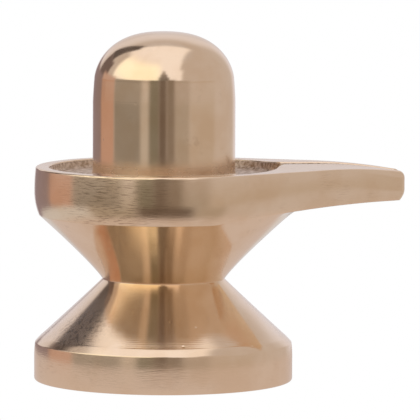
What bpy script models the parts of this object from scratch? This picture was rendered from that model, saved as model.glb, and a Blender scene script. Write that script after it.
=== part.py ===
"""A small shiva lingam in brass, cast in one piece, turned on a lathe and filed by hand.

A round base narrows to a waist and opens again into the tray, whose rim surrounds a shallow
basin. The upright lingam stands in the basin, and a tapering spout with a water channel leaves
the tray along +X. The origin is the middle of the underside, on the turned axis, with +Z up.
"""

from math import acos, asin, atan2, cos, hypot, pi, radians, sin

import bmesh
import bpy

# Driving dimensions, in metres

# Base and waist
BASE_RADIUS = 0.0250
BASE_EDGE_ROUND = 0.0005
BASE_BAND_TOP = 0.0045
BASE_CREASE_RADIUS = 0.02462
BASE_CREASE_HEIGHT = 0.0073
BASE_SHOULDER_RADIUS = 0.02372
BASE_SHOULDER_HEIGHT = 0.00825
WAIST_RADIUS = 0.0118
WAIST_HEIGHT = 0.0196
WAIST_ROUND = 0.0006

# Tray, seen from above a circle drawn out into the spout
TRAY_RADIUS = 0.0250
TRAY_LOW_HEIGHT = 0.0320
TRAY_LOW_INSET = 0.0009
TRAY_LOW_ROUND = 0.0044
RIM_HEIGHT = 0.0413
RIM_EDGE_ROUND = 0.0004
FLARE_POWER = 1.12

# Basin
BASIN_RADIUS = 0.0222
BASIN_DEPTH = 0.0016
WALL_DRAFT = 0.00015

# Spout
SPOUT_LENGTH = 0.0470
SPOUT_CORNER_ROUND = 0.0016
SPOUT_END_FLAT = 0.0021
SPOUT_END_TOP_ROUND = 0.0014
SPOUT_END_LOW_ROUND = 0.0022
SPOUT_FALL = 0.0012
SPOUT_FALL_START = 0.0310
SPOUT_UNDERSIDE_RISE = 0.0025
SPOUT_UNDERSIDE_START = 0.0058
SPOUT_UNDERSIDE_ROUND = 0.0012
SPOUT_CROWN = 0.0006
SPOUT_CROWN_POWER = 1.3

# Water channel along the spout
MOUTH_HALF_WIDTH = 0.0087
FUNNEL_LENGTH = 0.0030
FUNNEL_POWER = 1.6
CHANNEL_HALF_WIDTH = 0.0024
CHANNEL_END_HALF_WIDTH = 0.0017
CHANNEL_DROP = 0.0008

# Lingam
LINGAM_RADIUS = 0.01376
LINGAM_FOOT_ROUND = 0.0010
DOME_START_HEIGHT = 0.0585
DOME_RADIUS = 0.01350
DOME_HEIGHT = 0.0089
TAPER_LENGTH = 0.0045
DOME_CREASE = 0.13
DOME_FULLNESS = 2.45

# How finely the form is faceted
BACK_STEPS = 46
LINE_STEPS = (4, 3, 5)
CORNER_STEPS = 3
FLOOR_STEPS = 6
LAND_STEPS = 3
DOME_STEPS = 8
ROUND_STEPS = 2
CONE_STEPS = 4
UNDERSIDE_STEPS = 4


def mix(a, b, share):
    """The value that lies this share of the way from a to b."""
    return a + (b - a) * share


def ease(start, end, value):
    """Zero up to start, one from end on, and a smooth rise between them."""
    share = min(max((value - start) / (end - start), 0.0), 1.0)
    return share * share * (3.0 - 2.0 * share)


def spread(marks, counts):
    """Values that run through the marks, with as many even steps between two as counts says."""
    values = [marks[0]]
    for first, last, count in zip(marks, marks[1:], counts):
        values += [mix(first, last, step / count) for step in range(1, count + 1)]
    return values


def rounded(before, corner, after, size):
    """Points round a corner of a profile, from size before it to size after it."""
    ends = []
    for other in (before, after):
        length = hypot(other[0] - corner[0], other[1] - corner[1])
        ends.append([mix(corner[axis], other[axis], size / length) for axis in (0, 1)])
    steps = 2 * ROUND_STEPS
    points = []
    for step in range(steps + 1):
        share = step / steps
        weights = ((1 - share) ** 2, 2 * share * (1 - share), share**2)
        points.append(
            tuple(
                weights[0] * ends[0][axis] + weights[1] * corner[axis] + weights[2] * ends[1][axis]
                for axis in (0, 1)
            )
        )
    return points


# Plan of the tray and spout

CORNER_X = SPOUT_LENGTH - SPOUT_CORNER_ROUND
SIDE_ANGLE = atan2(SPOUT_END_FLAT, CORNER_X) + acos(
    (TRAY_RADIUS - SPOUT_CORNER_ROUND) / hypot(CORNER_X, SPOUT_END_FLAT)
)
SIDE_START_X = TRAY_RADIUS * cos(SIDE_ANGLE)
SIDE_END_X = CORNER_X + SPOUT_CORNER_ROUND * cos(SIDE_ANGLE)
MOUTH_ANGLE = asin(MOUTH_HALF_WIDTH / BASIN_RADIUS)
MOUTH_X = BASIN_RADIUS * cos(MOUTH_ANGLE)
FUNNEL_END_X = MOUTH_X + FUNNEL_LENGTH
BASIN_FLOOR = RIM_HEIGHT - BASIN_DEPTH


def side_half_width(x):
    """Half the width of the tray and spout where their straight sides are."""
    return (TRAY_RADIUS - x * cos(SIDE_ANGLE)) / sin(SIDE_ANGLE)


def channel_half_width(x):
    """Half the width of the channel: a funnel at the mouth, then a slow taper."""
    taper = (x - MOUTH_X) / (SPOUT_LENGTH - MOUTH_X)
    straight = mix(CHANNEL_HALF_WIDTH, CHANNEL_END_HALF_WIDTH, taper)
    left = 1.0 - min((x - MOUTH_X) / FUNNEL_LENGTH, 1.0)
    return straight + (MOUTH_HALF_WIDTH - CHANNEL_HALF_WIDTH) * left**FUNNEL_POWER


def half_outline():
    """(x, y, normal angle) round the left half of the tray, from the spout's end to the back."""
    found = []
    for step in range(CORNER_STEPS):
        angle = SIDE_ANGLE * step / CORNER_STEPS
        x = CORNER_X + SPOUT_CORNER_ROUND * cos(angle)
        found.append((x, SPOUT_END_FLAT + SPOUT_CORNER_ROUND * sin(angle), angle))
    marks = (SIDE_END_X, FUNNEL_END_X + 0.5 * FUNNEL_LENGTH, MOUTH_X, SIDE_START_X)
    for x in spread(marks, reversed(LINE_STEPS)):
        found.append((x, side_half_width(x), SIDE_ANGLE))
    half_back = BACK_STEPS // 2
    for step in range(1, half_back + 1):
        angle = mix(SIDE_ANGLE, pi, step / half_back)
        found.append((TRAY_RADIUS * cos(angle), TRAY_RADIUS * sin(angle), angle))
    return found


def half_inner_edge():
    """(x, y) of the basin's and the channel's edge, one for each point of half_outline."""
    found = []
    top_end = SPOUT_LENGTH - SPOUT_END_TOP_ROUND
    corner_start = top_end - SPOUT_CORNER_ROUND
    marks = (top_end, corner_start, FUNNEL_END_X, MOUTH_X)
    counts = (CORNER_STEPS, LINE_STEPS[2], LINE_STEPS[1])
    for x in spread(marks, counts)[:-1]:
        found.append((x, channel_half_width(x)))
    half_back = BACK_STEPS // 2
    for angle in spread((MOUTH_ANGLE, SIDE_ANGLE, pi), (LINE_STEPS[0], half_back)):
        found.append((BASIN_RADIUS * cos(angle), BASIN_RADIUS * sin(angle)))
    return found


def both_halves(half, mirror):
    """The left half, then its mirror image back to the spout, sharing the point at the back."""
    return half + [mirror(point) for point in reversed(half[:-1])]


# Heights


def fall(x):
    """How far the top of the spout has dropped at x."""
    share = max((x - SPOUT_FALL_START) / (SPOUT_LENGTH - SPOUT_FALL_START), 0.0)
    return SPOUT_FALL * share**2


def crown(x, y):
    """How far the top of the spout rises from its sides to the lips of the channel."""
    rise = ease(MOUTH_X - 2 * FUNNEL_LENGTH, FUNNEL_END_X, x)
    fade = 1.0 - ease(SPOUT_FALL_START, SPOUT_LENGTH, x)
    share = max(1.0 - abs(y) / max(side_half_width(x), CHANNEL_HALF_WIDTH), 0.0)
    return SPOUT_CROWN * rise * fade * share**SPOUT_CROWN_POWER


def top_height(x, y):
    """Height of the rim and of the spout's top."""
    return RIM_HEIGHT - fall(x) + crown(x, y)


def floor_height(x):
    """Height of the basin's floor and of the channel's, which runs down to the spout's end."""
    share = max((x - MOUTH_X) / (SPOUT_LENGTH - MOUTH_X), 0.0)
    return BASIN_FLOOR - CHANNEL_DROP * share


def low_height(x):
    """Height of the lower edge of the tray's and the spout's side."""
    reach = SPOUT_LENGTH - SPOUT_UNDERSIDE_START
    share = min(max((x - SPOUT_UNDERSIDE_START) / (0.9 * reach), 0.0), 1.0)
    return TRAY_LOW_HEIGHT + SPOUT_UNDERSIDE_RISE * sin(0.5 * pi * share)


def flare_radius(height):
    """Radius of the cone that opens from the waist to the tray."""
    share = (height - WAIST_HEIGHT) / (TRAY_LOW_HEIGHT - WAIST_HEIGHT)
    return mix(WAIST_RADIUS, TRAY_RADIUS - TRAY_LOW_INSET, share**FLARE_POWER)


def flare_height(radius):
    """Height of that cone at a radius, carried on past the tray's edge."""
    share = (radius - WAIST_RADIUS) / (TRAY_RADIUS - TRAY_LOW_INSET - WAIST_RADIUS)
    return mix(WAIST_HEIGHT, TRAY_LOW_HEIGHT, max(share, 0.0) ** (1.0 / FLARE_POWER))


def lower_of(a, b, blend):
    """The lower of two heights, with a fillet of about this size where they cross."""
    if blend <= 0.0:
        return min(a, b)
    share = min(max(0.5 + 0.5 * (b - a) / blend, 0.0), 1.0)
    return mix(b, a, share) - blend * share * (1.0 - share)


def end_share(x):
    """How much of the spout's end rounding applies at x: none on the tray, all at the end."""
    return ease(SPOUT_FALL_START, SPOUT_LENGTH, x)


def top_round(x):
    """Radius of the edge between the top and the side."""
    return mix(RIM_EDGE_ROUND, SPOUT_END_TOP_ROUND, end_share(x) ** 2)


# Turned profiles, as (radius, height)


def base_profile():
    """From the underside's edge up to below the tray."""
    underside = (0.0, 0.0)
    edge = (BASE_RADIUS, 0.0)
    band_top = (BASE_RADIUS, BASE_BAND_TOP)
    shoulder = (BASE_SHOULDER_RADIUS, BASE_SHOULDER_HEIGHT)
    waist = (WAIST_RADIUS, WAIST_HEIGHT)
    flare_start = (flare_radius(WAIST_HEIGHT + 3 * WAIST_ROUND), WAIST_HEIGHT + 3 * WAIST_ROUND)
    points = rounded(underside, edge, band_top, BASE_EDGE_ROUND)
    for share in spread((0.0, 1.0), (2 * ROUND_STEPS,)):
        radius = mix(BASE_RADIUS, BASE_CREASE_RADIUS, share**2)
        points.append((radius, mix(BASE_BAND_TOP, BASE_CREASE_HEIGHT, share)))
    points.append(shoulder)
    cone = [
        (mix(shoulder[0], waist[0], step / CONE_STEPS), mix(shoulder[1], waist[1], step / CONE_STEPS))
        for step in range(1, CONE_STEPS)
    ]
    points += cone + rounded(shoulder, waist, flare_start, WAIST_ROUND)
    top = mix(WAIST_HEIGHT, TRAY_LOW_HEIGHT, 0.6)
    for height in spread((flare_start[1], top), (CONE_STEPS,)):
        points.append((flare_radius(height), height))
    return points


def dome_shape(share):
    """How wide the dome is at this share of its height; it leaves the crease at a slant."""
    reach = mix(DOME_CREASE, 1.0, share)
    return (1.0 - reach**2) ** (1.0 / DOME_FULLNESS)


def lingam_profile():
    """From the foot of the lingam up to just below its apex."""
    foot = (LINGAM_RADIUS + LINGAM_FOOT_ROUND, BASIN_FLOOR)
    corner = (LINGAM_RADIUS, BASIN_FLOOR)
    taper_start = (LINGAM_RADIUS, DOME_START_HEIGHT - TAPER_LENGTH)
    points = rounded(foot, corner, taper_start, LINGAM_FOOT_ROUND)
    points += [taper_start, (DOME_RADIUS, DOME_START_HEIGHT)]
    for step in range(1, DOME_STEPS):
        angle = 0.5 * pi * step / DOME_STEPS
        share = sin(angle)
        radius = DOME_RADIUS * dome_shape(share) / dome_shape(0.0)
        points.append((radius, DOME_START_HEIGHT + DOME_HEIGHT * share))
    return points


# Mesh


def skin(bm, first, second, closed):
    """Faces between two rows of as many vertices, all the way round where they are closed."""
    count = len(first)
    for index in range(count if closed else count - 1):
        after = (index + 1) % count
        corners = [first[index], first[after], second[after], second[index]]
        bm.faces.new(corners)


def cap(bm, row, apex):
    """A fan of faces from a closed row to one point."""
    for index, vert in enumerate(row):
        bm.faces.new((vert, row[(index + 1) % len(row)], apex))


def land_rows(bm, outline, inner):
    """Rows from the top's outer edge in to the foot of the basin's and the channel's wall."""
    rows = []
    for step in range(LAND_STEPS + 1):
        row = []
        for (x, y, angle), (edge_x, edge_y) in zip(outline, inner):
            inset = top_round(x)
            outer_x = x - inset * cos(angle)
            outer_y = y - inset * sin(angle)
            share = step / LAND_STEPS
            point_x = mix(outer_x, edge_x, share)
            point_y = mix(outer_y, edge_y, share)
            row.append(bm.verts.new((point_x, point_y, top_height(point_x, point_y))))
        rows.append(row)
    foot = []
    for x, y in inner:
        if x > MOUTH_X + WALL_DRAFT:
            foot_x, foot_y = x, y - WALL_DRAFT * (1 if y > 0 else -1)
        else:
            shrink = 1.0 - WALL_DRAFT / hypot(x, y)
            foot_x, foot_y = x * shrink, y * shrink
        foot.append(bm.verts.new((foot_x, foot_y, floor_height(foot_x))))
    rows.append(foot)
    for first, second in zip(rows, rows[1:]):
        skin(bm, first, second, closed=False)
    return rows


def channel_floor(bm, foot, across):
    """The channel's floor, from the spout's end to the mouth. Returns its first and last row."""
    made = []
    for index in range(across):
        left, right = foot[index], foot[-1 - index]
        row = [right]
        for step in range(1, FLOOR_STEPS):
            point = right.co.lerp(left.co, step / FLOOR_STEPS)
            row.append(bm.verts.new(point))
        made.append(row + [left])
    for first, second in zip(made, made[1:]):
        skin(bm, first, second, closed=False)
    return made[0], made[-1]


def side_rows(bm, outline, top_ring):
    """Rows down the tray's and the spout's side, from the top ring to the lower edge."""
    rows = [top_ring]
    depths = []
    for x, y, angle in outline:
        depths.append((top_round(x), mix(TRAY_LOW_ROUND, SPOUT_END_LOW_ROUND, end_share(x))))

    def row_at(reach_of, height_of):
        row = []
        for (x, y, angle), (round_size, low_size), top in zip(outline, depths, top_ring):
            inset = reach_of(round_size, low_size)
            height = height_of(x, top.co.z, round_size, low_size)
            point = (x - inset * cos(angle), y - inset * sin(angle), height)
            row.append(bm.verts.new(point))
        return row

    for step in range(1, ROUND_STEPS + 1):
        turn = 0.5 * pi * step / ROUND_STEPS
        rows.append(
            row_at(
                lambda size, low: size * (1.0 - sin(turn)),
                lambda x, top, size, low: top - size * (1.0 - cos(turn)),
            )
        )
    for step in range(ROUND_STEPS + 2):
        share = step / (ROUND_STEPS + 1)
        rows.append(
            row_at(
                lambda size, low: TRAY_LOW_INSET * share**2,
                lambda x, top, size, low: low_height(x) + low * (1.0 - share),
            )
        )
    for first, second in zip(rows, rows[1:]):
        skin(bm, first, second, closed=True)
    return rows[-1]


def underside_rows(bm, edge_ring, angles, start):
    """Rows from the lower edge in to the cone, which they meet at the profile's last point."""
    start_radius = start[0]
    rows = [edge_ring]
    for step in range(1, UNDERSIDE_STEPS + 1):
        share = step / UNDERSIDE_STEPS
        row = []
        for vert, angle in zip(edge_ring, angles):
            edge = vert.co
            cone_x = start_radius * cos(angle)
            cone_y = start_radius * sin(angle)
            x = mix(edge.x, cone_x, share)
            y = mix(edge.y, cone_y, share)
            beyond = hypot(edge.x, edge.y) - (TRAY_RADIUS - TRAY_LOW_INSET)
            blend = SPOUT_UNDERSIDE_ROUND * ease(0.0, 2 * SPOUT_UNDERSIDE_ROUND, beyond)
            height = lower_of(flare_height(hypot(x, y)), low_height(x), blend)
            at_edge = lower_of(flare_height(hypot(edge.x, edge.y)), low_height(edge.x), blend)
            height += (edge.z - at_edge) * (1.0 - share) ** 2
            row.append(bm.verts.new((x, y, height)))
        rows.append(row)
    for first, second in zip(rows, rows[1:]):
        skin(bm, first, second, closed=True)
    return rows[-1]


def turned_rows(bm, profile, angles, first_row, apex_height):
    """Turned rows along a profile, joined to first_row and closed by a point on the axis."""
    row = first_row
    for radius, height in profile:
        following = [
            bm.verts.new((radius * cos(angle), radius * sin(angle), height)) for angle in angles
        ]
        skin(bm, row, following, closed=True)
        row = following
    cap(bm, row, bm.verts.new((0.0, 0.0, apex_height)))


def turned_angles(outline, end_count):
    """Angles of the columns on the turned parts: even across the spout, and the tray's behind it."""
    side_count = CORNER_STEPS + sum(LINE_STEPS)
    back = [radians(360.0) + angle if angle < 0 else angle for _, _, angle in outline]
    span = 2 * side_count + end_count
    angles = []
    for index, angle in enumerate(back[: len(outline)]):
        if index < side_count:
            angles.append(SIDE_ANGLE * (2 * (index + 0.5 * (end_count)) / span))
        elif index >= len(outline) - side_count:
            left = len(outline) - 1 - index
            angles.append(2 * pi - SIDE_ANGLE * (2 * (left + 0.5 * end_count) / span))
        else:
            angles.append(angle)
    step = 2 * SIDE_ANGLE / span
    for index in range(1, end_count):
        angles.append(2 * pi + step * (index - 0.5 * end_count))
    return angles


def build_lingam():
    """The whole casting as one closed mesh."""
    bm = bmesh.new()
    outline = both_halves(half_outline(), lambda point: (point[0], -point[1], -point[2]))
    inner = both_halves(half_inner_edge(), lambda point: (point[0], -point[1]))
    land = land_rows(bm, outline, inner)
    foot = land[-1]
    across = CORNER_STEPS + LINE_STEPS[1] + LINE_STEPS[2] + 1
    end_row, mouth_row = channel_floor(bm, foot, across)

    right_end = [row[-1] for row in land[1:]]
    left_end = [row[0] for row in reversed(land[1:])]
    end_verts = right_end + end_row[1:-1] + left_end
    top_ring = land[0] + end_verts
    full_outline = outline + [(SPOUT_LENGTH, vert.co.y, 0.0) for vert in end_verts]
    edge_ring = side_rows(bm, full_outline, top_ring)

    angles = turned_angles(outline, len(end_verts) + 1)
    profile = base_profile()
    cone_ring = underside_rows(bm, edge_ring, angles, profile[-1])
    turned_rows(bm, profile[-2::-1], angles, cone_ring, 0.0)

    basin_ring = foot[across - 1 : len(foot) - across + 1] + mouth_row[1:-1]
    basin_angles = []
    for vert in basin_ring:
        angle = atan2(vert.co.y, vert.co.x)
        basin_angles.append(angle if angle > 0 else angle + 2 * pi)
    turned_rows(bm, lingam_profile(), basin_angles, basin_ring, DOME_START_HEIGHT + DOME_HEIGHT)

    bmesh.ops.recalc_face_normals(bm, faces=bm.faces)
    mesh = bpy.data.meshes.new("shiva_lingam")
    bm.to_mesh(mesh)
    bm.free()
    mesh.shade_smooth()
    mesh.set_sharp_from_angle(angle=radians(28.0))
    return mesh


def brass():
    """Cast brass, turned and filed bright, with a warm tan colour."""
    material = bpy.data.materials.new("polished_brass")
    material.use_nodes = True
    shader = material.node_tree.nodes["Principled BSDF"]
    shader.inputs["Base Color"].default_value = (0.62, 0.40, 0.22, 1.0)
    shader.inputs["Metallic"].default_value = 1.0
    shader.inputs["Roughness"].default_value = 0.28
    return material


for old in list(bpy.data.objects):
    bpy.data.objects.remove(old, do_unlink=True)

lingam = bpy.data.objects.new("shiva_lingam", build_lingam())
lingam.data.materials.append(brass())
bpy.context.scene.collection.objects.link(lingam)
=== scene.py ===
"""Looks of a small cast brass shiva lingam: one casting, turned on a lathe and filed by hand.

The fine mesh follows the same turned profiles and the same plan as the solid that it stands for.
A Geometry Nodes tree then gives it the marks of its making, and one procedural brass shows where
it was turned bright, where it was filed and where it was left as it came from the mould.
"""

import logging
from dataclasses import dataclass, field
from enum import Enum
from math import acos, asin, atan2, cos, hypot, pi, radians, sin
from typing import Callable, Sequence

import bmesh
import bpy
from mathutils import Euler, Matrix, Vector


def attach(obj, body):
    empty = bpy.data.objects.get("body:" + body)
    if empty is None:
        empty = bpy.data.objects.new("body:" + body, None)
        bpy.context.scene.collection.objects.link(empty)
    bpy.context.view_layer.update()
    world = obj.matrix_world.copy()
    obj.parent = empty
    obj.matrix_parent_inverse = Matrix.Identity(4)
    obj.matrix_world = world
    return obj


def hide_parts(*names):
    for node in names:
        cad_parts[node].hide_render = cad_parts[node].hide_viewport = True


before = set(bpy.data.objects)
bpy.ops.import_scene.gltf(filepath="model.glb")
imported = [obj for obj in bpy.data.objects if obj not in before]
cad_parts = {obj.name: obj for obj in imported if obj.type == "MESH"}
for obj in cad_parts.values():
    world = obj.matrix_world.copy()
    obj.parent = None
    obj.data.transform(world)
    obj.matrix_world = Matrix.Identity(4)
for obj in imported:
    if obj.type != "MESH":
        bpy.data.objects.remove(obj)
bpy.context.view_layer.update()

LOG = logging.getLogger("lingam")
NODE = "shiva_lingam"
BODY = "root"
PIECE = "lingam_casting"
ALONG = "along"
MM = 0.001

# A straight stretch of a profile starts this many roundings away from its corner
CLEAR_OF_ROUND = 1.5

# How strongly each finer octave of a pattern shows
OCTAVE_SHARE = 0.55

# Middle value of a noise, which neither raises nor lowers the surface
NOISE_MIDDLE = 0.5

# Setting of a Map Range node that starts and ends its range smoothly
SOFT_ENDS = {"interpolation_type": "SMOOTHSTEP"}

# Inputs and output of a Mix node for colours, which can't be told apart by their names
FACTOR, UNDER, OVER, MIXED = 0, 6, 7, 2

Pair = tuple[float, float]
Place = tuple[float, float, float]
Colour = tuple[float, float, float, float]
Row = list[bmesh.types.BMVert]
Socket = bpy.types.NodeSocket
Tree = bpy.types.NodeTree


class Zone(Enum):
    """How a stretch of the casting was finished. Each zone is a point attribute of the mesh."""

    TURNED = "turned"
    FILED = "filed"
    CAST = "cast"


Zones = dict[Zone, Socket]


def linear(hex_colour: str) -> Colour:
    """Turns an sRGB hex colour into linear RGBA.

    Args:
        hex_colour: Six hex digits after a hash sign.

    Returns:
        Red, green, blue and an alpha of one.
    """
    parts = []
    for start in (1, 3, 5):
        value = int(hex_colour[start : start + 2], 16) / 255.0
        low = value / 12.92
        high = ((value + 0.055) / 1.055) ** 2.4
        parts.append(low if value <= 0.04045 else high)
    return (parts[0], parts[1], parts[2], 1.0)


def mix(a: float, b: float, share: float) -> float:
    """Returns the value that lies this share of the way from a to b."""
    return a + (b - a) * share


def ease(start: float, end: float, value: float) -> float:
    """Returns zero up to start, one from end on, and a smooth rise between them."""
    share = min(max((value - start) / (end - start), 0.0), 1.0)
    return share * share * (3.0 - 2.0 * share)


def spread(marks: Sequence[float], counts: Sequence[int]) -> list[float]:
    """Runs through marks in even steps.

    Args:
        marks: Values to pass through, in order.
        counts: How many steps to take between each two marks.

    Returns:
        The values, marks included.
    """
    values = [marks[0]]
    for first, last, count in zip(marks, marks[1:], counts):
        values += [mix(first, last, step / count) for step in range(1, count + 1)]
    return values


def rounded(before: Pair, corner: Pair, after: Pair, size: float, steps: int) -> list[Pair]:
    """Rounds the corner of a turned profile.

    Args:
        before: A point of the profile ahead of the corner.
        corner: The corner itself, as radius and height.
        after: A point of the profile past the corner.
        size: Distance from the corner at which the rounding starts and ends.
        steps: Number of steps round it.

    Returns:
        The points of the rounding.
    """
    ends = []
    for other in (before, after):
        share = size / hypot(other[0] - corner[0], other[1] - corner[1])
        ends.append((mix(corner[0], other[0], share), mix(corner[1], other[1], share)))
    points = []
    for step in range(steps + 1):
        t = step / steps
        weights = ((1 - t) ** 2, 2 * t * (1 - t), t**2)
        radius = weights[0] * ends[0][0] + weights[1] * corner[0] + weights[2] * ends[1][0]
        height = weights[0] * ends[0][1] + weights[1] * corner[1] + weights[2] * ends[1][1]
        points.append((radius, height))
    return points


def lower_of(a: float, b: float, blend: float) -> float:
    """Picks the lower of two heights.

    Args:
        a: One height.
        b: The other.
        blend: Size of the fillet where they cross, or zero for none.

    Returns:
        The lower height, with the fillet.
    """
    if blend <= 0.0:
        return min(a, b)
    share = min(max(0.5 + 0.5 * (b - a) / blend, 0.0), 1.0)
    return mix(b, a, share) - blend * share * (1.0 - share)


def add_node(
    tree: Tree, kind: str, *first: object, named: dict[str | int, object] | None = None, **settings: object
) -> bpy.types.Node:
    """Adds a node with its settings and links.

    Args:
        tree: The tree that gets the node.
        kind: Its Blender type.
        first: A socket to link or a value to set for each of its first inputs, in order.
        named: The same for other inputs, by name or number.
        settings: Attributes of the node itself, such as operation.

    Returns:
        The new node.
    """
    node = tree.nodes.new(kind)
    for name, value in settings.items():
        setattr(node, name, value)
    for key, value in (dict(enumerate(first)) | (named or {})).items():
        socket = node.inputs[key]
        if isinstance(value, Socket):
            tree.links.new(value, socket)
        else:
            socket.default_value = value
    return node


@dataclass(frozen=True)
class Blotches:
    """Soft-edged blotches of a real size, such as tarnish, specks or the tones of a cast skin."""

    size: float
    detail: float
    start: float
    end: float
    least: float = 0.0
    most: float = 1.0

    def share(self, tree: Tree, place: Socket) -> Socket:
        """Draws the blotches.

        Args:
            tree: The material's tree.
            place: Object coordinates.

        Returns:
            The least value between the blotches and the most value in them.
        """
        links = {"Vector": place, "Scale": 1.0 / self.size, "Detail": self.detail, "Roughness": OCTAVE_SHARE}
        pattern = add_node(tree, "ShaderNodeTexNoise", named=links).outputs["Fac"]
        limits = (self.start, self.end, self.least, self.most)
        edge = add_node(tree, "ShaderNodeMapRange", pattern, *limits, **SOFT_ENDS)
        return edge.outputs[0]


@dataclass(frozen=True)
class Spot:
    """One spot with the most dirt or stain, which fades out round its centre."""

    centre: Place
    inner: float
    outer: float
    most: float

    def share(self, tree: Tree, place: Socket) -> Socket:
        """Draws the spot.

        Args:
            tree: The material's tree.
            place: Object coordinates.

        Returns:
            The most value up to the inner distance, and zero from the outer one on.
        """
        away = add_node(tree, "ShaderNodeVectorMath", place, self.centre, operation="DISTANCE")
        limits = (self.inner, self.outer, self.most, 0.0)
        edge = add_node(tree, "ShaderNodeMapRange", away.outputs["Value"], *limits, **SOFT_ENDS)
        return edge.outputs[0]


@dataclass(frozen=True)
class Belt:
    """A belt round the casting between two heights, with a soft edge below and above."""

    low_start: float
    low_end: float
    high_start: float
    high_end: float
    most: float = 1.0

    def share(self, tree: Tree, place: Socket) -> Socket:
        """Draws the belt.

        Args:
            tree: The material's tree.
            place: Object coordinates.

        Returns:
            The most value in the belt and zero elsewhere.
        """
        height = add_node(tree, "ShaderNodeSeparateXYZ", place).outputs["Z"]
        edges = []
        for limits in (
            (self.low_start, self.low_end, 0.0, self.most),
            (self.high_start, self.high_end, 1.0, 0.0),
        ):
            edge = add_node(tree, "ShaderNodeMapRange", height, *limits, **SOFT_ENDS)
            edges.append(edge.outputs[0])
        return add_node(tree, "ShaderNodeMath", *edges, operation="MULTIPLY").outputs[0]


@dataclass(frozen=True)
class BrassFinish:
    """Yellow brass with a warm, slightly pink cast, bright where worked and brown where as cast.

    Brass reflects with its own colour and no diffuse light, so the eye sees tinted reflections:
    drawn out round the axis where a lathe tool ran, softened where a file crossed the surface,
    and dull, mottled brown where the skin of the mould is left.
    """

    bright_hex: str = "#EFD8BC"
    worn_hex: str = "#EAD0B1"
    cast_hex: str = "#E6D6C6"
    cast_dark_hex: str = "#A88F77"
    scratch_hex: str = "#7E6148"
    stain_hex: str = "#6E5844"
    clouds: Blotches = Blotches(9.0 * MM, 3.0, 0.40, 0.65)
    skin_tones: Blotches = Blotches(0.8 * MM, 5.0, 0.32, 0.66)

    # Dark specks on the turned metal, most of them low on the base
    specks: Blotches = Blotches(0.9 * MM, 5.0, 0.50, 0.60)
    stained_patches: Blotches = Blotches(7.0 * MM, 2.0, 0.60, 0.74, most=0.10)
    stained_spot: Spot = Spot((-18.0 * MM, -10.4 * MM, 10.8 * MM), 1.5 * MM, 8.0 * MM, 0.55)

    # Dirt in the deeper strokes of the file, most of it in one place on the rim's side
    deep_strokes: Pair = (0.36, 0.50)
    dirty_patches: Blotches = Blotches(5.0 * MM, 3.0, 0.50, 0.68, most=0.12)
    dirty_spot: Spot = Spot((-14.0 * MM, -20.5 * MM, 36.5 * MM), 3.0 * MM, 14.0 * MM, 0.48)

    # Roughness: least where turned, more at the lingam's foot, where no polish reached
    turned_roughness: float = 0.11
    filed_roughness: float = 0.17
    cast_roughness: float = 0.55
    rough_foot: Belt = Belt(36.0 * MM, 38.0 * MM, 41.0 * MM, 45.0 * MM, most=0.16)
    handling: Blotches = Blotches(5.0 * MM, 2.0, 0.35, 0.70, least=-0.02, most=0.03)

    # The fine rings of the lathe draw highlights out across them, a quarter turn from the rings
    anisotropy: float = 0.3
    highlight_turn: float = 0.25

    # A thin grey film of dust and oil on the base's cone
    film: Belt = Belt(7.0 * MM, 10.0 * MM, 15.0 * MM, 19.0 * MM)
    film_roughness: float = 0.4

    # Marks of the tools and of the mould, drawn a little coarser than real ones so that they show
    ring_pitch: float = 0.22 * MM
    ring_detail: float = 2.0
    ring_depth: float = 0.004 * MM
    stroke_pitch: float = 0.19 * MM
    stroke_slimness: float = 0.09
    stroke_slant: float = radians(7.0)
    stroke_detail: float = 3.0
    stroke_depth: float = 0.014 * MM
    grain_size: float = 0.55 * MM
    grain_detail: float = 5.0
    grain_depth: float = 0.10 * MM
    dent_spacing: float = 4.0 * MM
    dent_reach: float = 0.10
    dent_depth: float = 0.03 * MM

    def material(self) -> bpy.types.Material:
        """Builds the procedural brass, which reads the zones' attributes and object coordinates.

        Returns:
            The one material of the casting.
        """
        material = bpy.data.materials.new("turned_and_filed_brass")
        material.use_nodes = True
        tree = material.node_tree
        tree.nodes.clear()
        place = add_node(tree, "ShaderNodeTexCoord").outputs["Object"]
        zones = {
            zone: add_node(tree, "ShaderNodeAttribute", attribute_name=zone.value).outputs["Fac"]
            for zone in Zone
        }
        strokes = self.strokes(tree, place)
        links = {
            "Base Color": self.colour(tree, place, zones, strokes),
            "Metallic": 1.0,
            "Roughness": self.roughness(tree, place, zones),
            "Normal": self.relief(tree, place, zones, strokes),
            "Anisotropic": self.anisotropy,
            "Anisotropic Rotation": self.highlight_turn,
            "Tangent": self.round_the_axis(tree, place),
            "Coat Weight": self.film.share(tree, place),
            "Coat Roughness": self.film_roughness,
        }
        shader = add_node(tree, "ShaderNodeBsdfPrincipled", named=links)
        add_node(tree, "ShaderNodeOutputMaterial", shader.outputs["BSDF"])
        return material

    def round_the_axis(self, tree: Tree, place: Socket) -> Socket:
        """Returns the direction in which the lathe tool ran: round the turned axis."""
        cross = add_node(tree, "ShaderNodeVectorMath", (0.0, 0.0, 1.0), place, operation="CROSS_PRODUCT")
        return add_node(tree, "ShaderNodeVectorMath", cross.outputs[0], operation="NORMALIZE").outputs[0]

    def strokes(self, tree: Tree, place: Socket) -> Socket:
        """Draws the strokes of the file: long, fine and nearly level.

        Args:
            tree: The material's tree.
            place: Object coordinates.

        Returns:
            Their height, from zero to one.
        """
        length_scale = self.stroke_slimness / self.stroke_pitch
        drawn_out = add_node(
            tree,
            "ShaderNodeMapping",
            named={
                "Vector": place,
                "Scale": (length_scale, length_scale, 1.0 / self.stroke_pitch),
                "Rotation": (0.0, self.stroke_slant, 0.0),
            },
        ).outputs[0]
        links = {"Vector": drawn_out, "Scale": 1.0, "Detail": self.stroke_detail, "Roughness": OCTAVE_SHARE}
        return add_node(tree, "ShaderNodeTexNoise", named=links).outputs["Fac"]

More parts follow.
